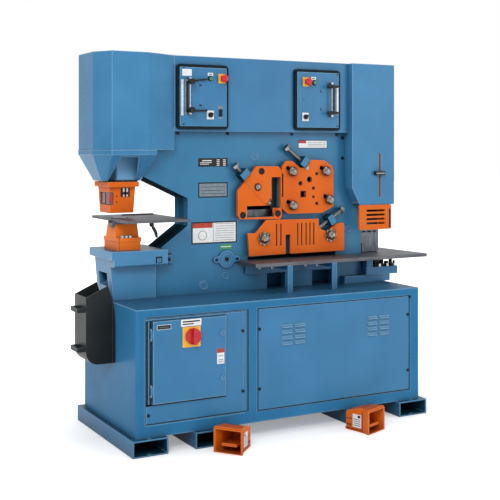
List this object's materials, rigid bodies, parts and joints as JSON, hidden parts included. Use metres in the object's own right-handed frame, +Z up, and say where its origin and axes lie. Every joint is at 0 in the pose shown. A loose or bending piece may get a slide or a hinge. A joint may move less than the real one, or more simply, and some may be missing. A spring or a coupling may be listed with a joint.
{
  "type": "ironworker",
  "caption": "Hydraulic ironworker with punch station, angle, bar and flat shear, notching station and two foot switches on a skid base.",
  "frame": {"origin": "centre of the four anchor holes in the end skid tubes, on the floor plane", "axes": "+X to the right along the machine as the operator faces it, +Y away from the operator, +Z up"},
  "size_m": [1.962, 0.9484, 1.853],
  "materials": {
    "machine_blue": "semi-gloss enamel",
    "safety_orange": "semi-gloss enamel",
    "tool_steel": "ground",
    "table_steel": "milled",
    "chrome": "polished",
    "black_paint": "satin",
    "black_plastic": "moulded",
    "red_plastic": "moulded",
    "green_plastic": "moulded"
  },
  "bodies": {
    "root": {"base_cabinet": "machine_blue", "skid_tubes": "machine_blue", "power_panel": "machine_blue", "access_panel": "machine_blue", "switch_gear": "tool_steel", "punch_pedestal": "machine_blue", "frame_front_plate": "machine_blue", "frame_back_plate": "machine_blue", "frame_spacers": "machine_blue", "punch_cylinder": "machine_blue", "stripper": "safety_orange", "die_holder": "safety_orange", "die": "tool_steel", "punch_table": "table_steel", "slug_tray": "black_paint", "hood": "machine_blue", "hood_funnel": "machine_blue", "top_cover": "machine_blue", "control_bezels": "black_paint", "control_plates": "machine_blue", "panel_fittings": "tool_steel", "right_cover": "machine_blue", "notch_guard": "safety_orange", "right_cylinder": "machine_blue", "fixed_blades": "tool_steel", "pivot_pin": "machine_blue", "angle_guard": "safety_orange", "guide_bolts": "tool_steel", "right_table": "table_steel", "table_supports": "machine_blue", "hydraulic_unit": "tool_steel", "foot_guards": "safety_orange"},
    "door": {"enclosure_door": "machine_blue"},
    "latch_top": {"latch_upper": "machine_blue"},
    "latch_bottom": {"latch_lower": "machine_blue"},
    "isolator": {"disconnect_knob": "red_plastic"},
    "punch_slide": {"punch_ram": "chrome", "punch": "tool_steel"},
    "beam": {"shear_beam": "machine_blue", "moving_blades": "tool_steel"},
    "ram_slide": {"right_ram": "tool_steel"},
    "angle_clamp": {"angle_slider": "safety_orange"},
    "rod_clamp": {"rod_holddown": "safety_orange"},
    "bar_clamp": {"bar_holddown": "safety_orange"},
    "screw_angle": {"jack_angle": "chrome"},
    "screw_rod": {"jack_rod": "chrome"},
    "screw_bar": {"jack_bar": "chrome"},
    "knob_lu": {"stop_knob_left_upper": "black_plastic"},
    "knob_ll": {"stop_knob_left_lower": "black_plastic"},
    "knob_ru": {"stop_knob_right_upper": "black_plastic"},
    "knob_rl": {"stop_knob_right_lower": "black_plastic"},
    "estop_l": {"emergency_stop_left": "red_plastic"},
    "estop_r": {"emergency_stop_right": "red_plastic"},
    "start_l": {"start_button_left": "green_plastic"},
    "start_r": {"start_button_right": "green_plastic"},
    "mode_l": {"selector_left": "black_plastic"},
    "mode_r": {"selector_right": "black_plastic"},
    "lever": {"table_lever": "black_paint"},
    "pedal_l": {"treadle_left": "safety_orange"},
    "pedal_r": {"treadle_right": "safety_orange"}
  },
  "joints": [
    {"name": "door_hinge", "type": "hinge", "parent": "root", "child": "door", "pos_m": [-0.729, -0.3555, 0.416], "axis": [0, 0, -1], "range_deg": [0, 110]},
    {"name": "latch_upper_turn", "type": "hinge", "parent": "door", "child": "latch_top", "pos_m": [-0.369, -0.36, 0.524], "axis": [0, 1, 0], "range_deg": [0, 90]},
    {"name": "latch_lower_turn", "type": "hinge", "parent": "door", "child": "latch_bottom", "pos_m": [-0.369, -0.36, 0.311], "axis": [0, 1, 0], "range_deg": [0, 90]},
    {"name": "disconnect_turn", "type": "hinge", "parent": "door", "child": "isolator", "pos_m": [-0.524, -0.36, 0.523], "axis": [0, 1, 0], "range_deg": [0, 90]},
    {"name": "punch_stroke", "type": "slide", "parent": "root", "child": "punch_slide", "axis": [0, 0, -1], "range_m": [0, 0.05]},
    {"name": "beam_pivot", "type": "hinge", "parent": "root", "child": "beam", "pos_m": [-0.165, 0.08, 0.826], "axis": [0, 1, 0], "range_deg": [0, 3.2]},
    {"name": "ram_stroke", "type": "slide", "parent": "root", "child": "ram_slide", "axis": [0, 0, -1], "range_m": [0, 0.051]},
    {"name": "angle_clamp_slide", "type": "slide", "parent": "root", "child": "angle_clamp", "axis": [0.7071, 0, -0.7071], "range_m": [0, 0.03]},
    {"name": "rod_clamp_slide", "type": "slide", "parent": "root", "child": "rod_clamp", "axis": [0.788, 0, -0.6157], "range_m": [0, 0.025]},
    {"name": "bar_clamp_slide", "type": "slide", "parent": "root", "child": "bar_clamp", "axis": [-0.848, 0, -0.5299], "range_m": [0, 0.028]},
    {"name": "angle_screw_turn", "type": "hinge", "parent": "angle_clamp", "child": "screw_angle", "pos_m": [-0.06308, -0.029, 1.24108], "axis": [0.7071, 0, -0.7071], "range_deg": [0, 2200]},
    {"name": "rod_screw_turn", "type": "hinge", "parent": "rod_clamp", "child": "screw_rod", "pos_m": [0.302, -0.029, 1.30068], "axis": [0.788, 0, -0.6157], "range_deg": [0, 1850]},
    {"name": "bar_screw_turn", "type": "hinge", "parent": "bar_clamp", "child": "screw_bar", "pos_m": [0.38309, -0.029, 0.97132], "axis": [-0.848, 0, -0.5299], "range_deg": [0, 2050]},
    {"name": "knob_left_upper_slide", "type": "slide", "parent": "root", "child": "knob_lu", "axis": [0, 0, -1], "range_m": [0, 0.05]},
    {"name": "knob_left_lower_slide", "type": "slide", "parent": "root", "child": "knob_ll", "axis": [0, 0, 1], "range_m": [0, 0.05]},
    {"name": "knob_right_upper_slide", "type": "slide", "parent": "root", "child": "knob_ru", "axis": [0, 0, -1], "range_m": [0, 0.05]},
    {"name": "knob_right_lower_slide", "type": "slide", "parent": "root", "child": "knob_rl", "axis": [0, 0, 1], "range_m": [0, 0.05]},
    {"name": "emergency_left_push", "type": "slide", "parent": "root", "child": "estop_l", "axis": [0, 1, 0], "range_m": [0, 0.006], "stiffness_N_per_m": 800},
    {"name": "emergency_right_push", "type": "slide", "parent": "root", "child": "estop_r", "axis": [0, 1, 0], "range_m": [0, 0.006], "stiffness_N_per_m": 800},
    {"name": "start_left_push", "type": "slide", "parent": "root", "child": "start_l", "axis": [0, 1, 0], "range_m": [0, 0.004], "stiffness_N_per_m": 600},
    {"name": "start_right_push", "type": "slide", "parent": "root", "child": "start_r", "axis": [0, 1, 0], "range_m": [0, 0.004], "stiffness_N_per_m": 600},
    {"name": "mode_left_turn", "type": "hinge", "parent": "root", "child": "mode_l", "pos_m": [-0.284, -0.062, 1.56], "axis": [0, 1, 0], "range_deg": [-45, 45]},
    {"name": "mode_right_turn", "type": "hinge", "parent": "root", "child": "mode_r", "pos_m": [0.276, -0.062, 1.559], "axis": [0, 1, 0], "range_deg": [-45, 45]},
    {"name": "table_lever_turn", "type": "hinge", "parent": "root", "child": "lever", "pos_m": [-0.628, -0.122, 1.038], "axis": [0, 0, 1], "range_deg": [-40, 40]},
    {"name": "pedal_left_press", "type": "hinge", "parent": "root", "child": "pedal_l", "pos_m": [-0.3329, -0.44564, 0.034], "axis": [0.5948, -0.8039, 0], "range_deg": [0, 8], "stiffness_Nm_per_rad": 6},
    {"name": "pedal_right_press", "type": "hinge", "parent": "root", "child": "pedal_r", "pos_m": [0.34705, -0.44877, 0.034], "axis": [0.9291, 0.3697, 0], "range_deg": [0, 8], "stiffness_Nm_per_rad": 6}
  ],
  "couplings": [
    {"joint": "ram_stroke", "follows": "beam_pivot", "m_per_rad": 0.91},
    {"joint": "angle_screw_turn", "follows": "angle_clamp_slide", "rad_per_m": 1256.6},
    {"joint": "rod_screw_turn", "follows": "rod_clamp_slide", "rad_per_m": 1256.6},
    {"joint": "bar_screw_turn", "follows": "bar_clamp_slide", "rad_per_m": 1256.6}
  ]
}
